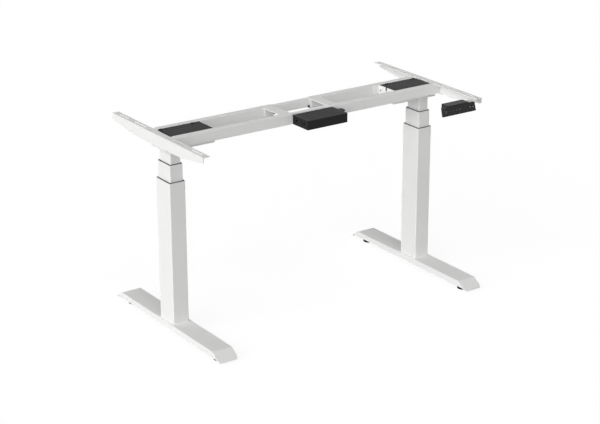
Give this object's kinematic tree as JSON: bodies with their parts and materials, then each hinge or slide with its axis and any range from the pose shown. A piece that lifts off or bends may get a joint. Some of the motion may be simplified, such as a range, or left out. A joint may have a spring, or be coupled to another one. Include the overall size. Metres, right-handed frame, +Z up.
{
  "type": "standing desk frame",
  "caption": "Electric standing desk frame with telescopic columns on long feet, a beam that pulls out in width, slotted side brackets, a control box and a handset.",
  "frame": {"origin": "on the floor, under the middle of the frame (half way between the side brackets' outsides and between the feet's ends), at the height and width in the picture", "axes": "+X along the beam towards the side with the handset, -Y towards the user, +Z up"},
  "size_m": [1.169, 0.7, 0.7265],
  "materials": {
    "white_powder_coat": "fine satin powder coat",
    "black_powder_coat": "satin",
    "black_plastic": "fine grained",
    "grey_plastic": "matt",
    "key_plastic": "matt",
    "steel": "bright",
    "black_steel": "blackened",
    "brass": "machined",
    "gearbox_aluminium": "cast",
    "motor_steel": "satin",
    "circuit_board": "solder resist"
  },
  "bodies": {
    "left_leg": {"left_foot": "white_powder_coat", "left_outer_tube": "white_powder_coat", "left_outer_collar": "grey_plastic", "left_fixed_screw": "steel", "left_column_bolts": "steel"},
    "left_front_pad": {"left_front_levelling_foot": "black_plastic"},
    "left_rear_pad": {"left_rear_levelling_foot": "black_plastic"},
    "left_middle": {"left_middle_tube": "white_powder_coat", "left_middle_glides": "grey_plastic"},
    "left_turning_screw": {"left_hollow_screw": "steel"},
    "left_shaft": {"left_drive_shaft": "steel"},
    "left_top": {"left_inner_tube": "white_powder_coat", "left_inner_nut_block": "brass", "left_gearbox": "gearbox_aluminium", "left_motor": "motor_steel", "left_motor_housing": "white_powder_coat", "left_motor_cover": "black_powder_coat", "left_frame_screws": "black_steel", "left_side_bracket": "white_powder_coat", "left_front_rail": "white_powder_coat", "left_rear_rail": "white_powder_coat", "left_cross_plate": "white_powder_coat"},
    "right_leg": {"right_foot": "white_powder_coat", "right_outer_tube": "white_powder_coat", "right_outer_collar": "grey_plastic", "right_fixed_screw": "steel", "right_column_bolts": "steel"},
    "right_front_pad": {"right_front_levelling_foot": "black_plastic"},
    "right_rear_pad": {"right_rear_levelling_foot": "black_plastic"},
    "right_middle": {"right_middle_tube": "white_powder_coat", "right_middle_glides": "grey_plastic"},
    "right_turning_screw": {"right_hollow_screw": "steel"},
    "right_shaft": {"right_drive_shaft": "steel"},
    "right_top": {"right_inner_tube": "white_powder_coat", "right_inner_nut_block": "brass", "right_gearbox": "gearbox_aluminium", "right_motor": "motor_steel", "right_motor_housing": "white_powder_coat", "right_motor_cover": "black_powder_coat", "right_frame_screws": "black_steel", "right_side_bracket": "white_powder_coat", "right_front_rail": "white_powder_coat", "right_rear_rail": "white_powder_coat", "right_cross_plate": "white_powder_coat", "handset_shell": "black_plastic", "handset_back": "black_plastic", "handset_circuit_board": "circuit_board"},
    "centre": {"front_inner_rail": "white_powder_coat", "rear_inner_rail": "white_powder_coat", "centre_screws": "black_steel", "control_box_base": "black_plastic", "control_box_lid": "black_plastic", "control_circuit_board": "circuit_board"},
    "memory_key": {"key_memory": "key_plastic"},
    "key_1": {"key_1": "key_plastic"},
    "key_2": {"key_2": "key_plastic"},
    "key_3": {"key_3": "key_plastic"},
    "key_4": {"key_4": "key_plastic"},
    "down_key": {"key_down": "key_plastic"},
    "up_key": {"key_up": "key_plastic"}
  },
  "joints": [
    {"name": "lift", "type": "slide", "parent": "left_leg", "child": "left_middle", "axis": [0, 0, 1], "range_m": [-0.05, 0.275]},
    {"name": "left_upper_lift", "type": "slide", "parent": "left_middle", "child": "left_top", "axis": [0, 0, 1], "range_m": [-0.05, 0.275]},
    {"name": "left_width", "type": "slide", "parent": "left_top", "child": "centre", "axis": [1, 0, 0], "range_m": [0, 0.2605]},
    {"name": "right_width", "type": "slide", "parent": "centre", "child": "right_top", "axis": [1, 0, 0], "range_m": [0, 0.2605]},
    {"name": "right_upper_lift", "type": "slide", "parent": "right_top", "child": "right_middle", "axis": [0, 0, -1], "range_m": [-0.05, 0.275]},
    {"name": "right_lower_lift", "type": "slide", "parent": "right_middle", "child": "right_leg", "axis": [0, 0, -1], "range_m": [-0.05, 0.275]},
    {"name": "left_screw_turn", "type": "hinge", "parent": "left_middle", "child": "left_turning_screw", "pos_m": [-0.5325, 0, 0.3], "axis": [0, 0, 1], "range_deg": [-2260, 12400]},
    {"name": "left_shaft_turn", "type": "hinge", "parent": "left_top", "child": "left_shaft", "pos_m": [-0.5325, 0, 0.6], "axis": [0, 0, 1], "range_deg": [-2260, 12400]},
    {"name": "left_front_levelling", "type": "slide", "parent": "left_leg", "child": "left_front_pad", "axis": [0, 0, -1], "range_m": [-0.003, 0.006]},
    {"name": "left_rear_levelling", "type": "slide", "parent": "left_leg", "child": "left_rear_pad", "axis": [0, 0, -1], "range_m": [-0.003, 0.006]},
    {"name": "right_screw_turn", "type": "hinge", "parent": "right_middle", "child": "right_turning_screw", "pos_m": [0.5325, 0, 0.3], "axis": [0, 0, 1], "range_deg": [-2260, 12400]},
    {"name": "right_shaft_turn", "type": "hinge", "parent": "right_top", "child": "right_shaft", "pos_m": [0.5325, 0, 0.6], "axis": [0, 0, 1], "range_deg": [-2260, 12400]},
    {"name": "right_front_levelling", "type": "slide", "parent": "right_leg", "child": "right_front_pad", "axis": [0, 0, -1], "range_m": [-0.003, 0.006]},
    {"name": "right_rear_levelling", "type": "slide", "parent": "right_leg", "child": "right_rear_pad", "axis": [0, 0, -1], "range_m": [-0.003, 0.006]},
    {"name": "press_memory", "type": "slide", "parent": "right_top", "child": "memory_key", "axis": [0, 0.9799, -0.1994], "range_m": [0, 0.0005], "stiffness_N_per_m": 600},
    {"name": "press_1", "type": "slide", "parent": "right_top", "child": "key_1", "axis": [0, 0.9799, -0.1994], "range_m": [0, 0.0005], "stiffness_N_per_m": 600},
    {"name": "press_2", "type": "slide", "parent": "right_top", "child": "key_2", "axis": [0, 0.9799, -0.1994], "range_m": [0, 0.0005], "stiffness_N_per_m": 600},
    {"name": "press_3", "type": "slide", "parent": "right_top", "child": "key_3", "axis": [0, 0.9799, -0.1994], "range_m": [0, 0.0005], "stiffness_N_per_m": 600},
    {"name": "press_4", "type": "slide", "parent": "right_top", "child": "key_4", "axis": [0, 0.9799, -0.1994], "range_m": [0, 0.0005], "stiffness_N_per_m": 600},
    {"name": "press_down", "type": "slide", "parent": "right_top", "child": "down_key", "axis": [0, 0.9799, -0.1994], "range_m": [0, 0.0005], "stiffness_N_per_m": 600},
    {"name": "press_up", "type": "slide", "parent": "right_top", "child": "up_key", "axis": [0, 0.9799, -0.1994], "range_m": [0, 0.0005], "stiffness_N_per_m": 600}
  ],
  "couplings": [
    {"joint": "left_upper_lift", "follows": "lift", "ratio": 1},
    {"joint": "right_upper_lift", "follows": "lift", "ratio": 1},
    {"joint": "right_lower_lift", "follows": "lift", "ratio": 1},
    {"joint": "left_screw_turn", "follows": "lift", "rad_per_m": 785.4},
    {"joint": "left_shaft_turn", "follows": "lift", "rad_per_m": 785.4},
    {"joint": "right_screw_turn", "follows": "lift", "rad_per_m": 785.4},
    {"joint": "right_shaft_turn", "follows": "lift", "rad_per_m": 785.4}
  ]
}
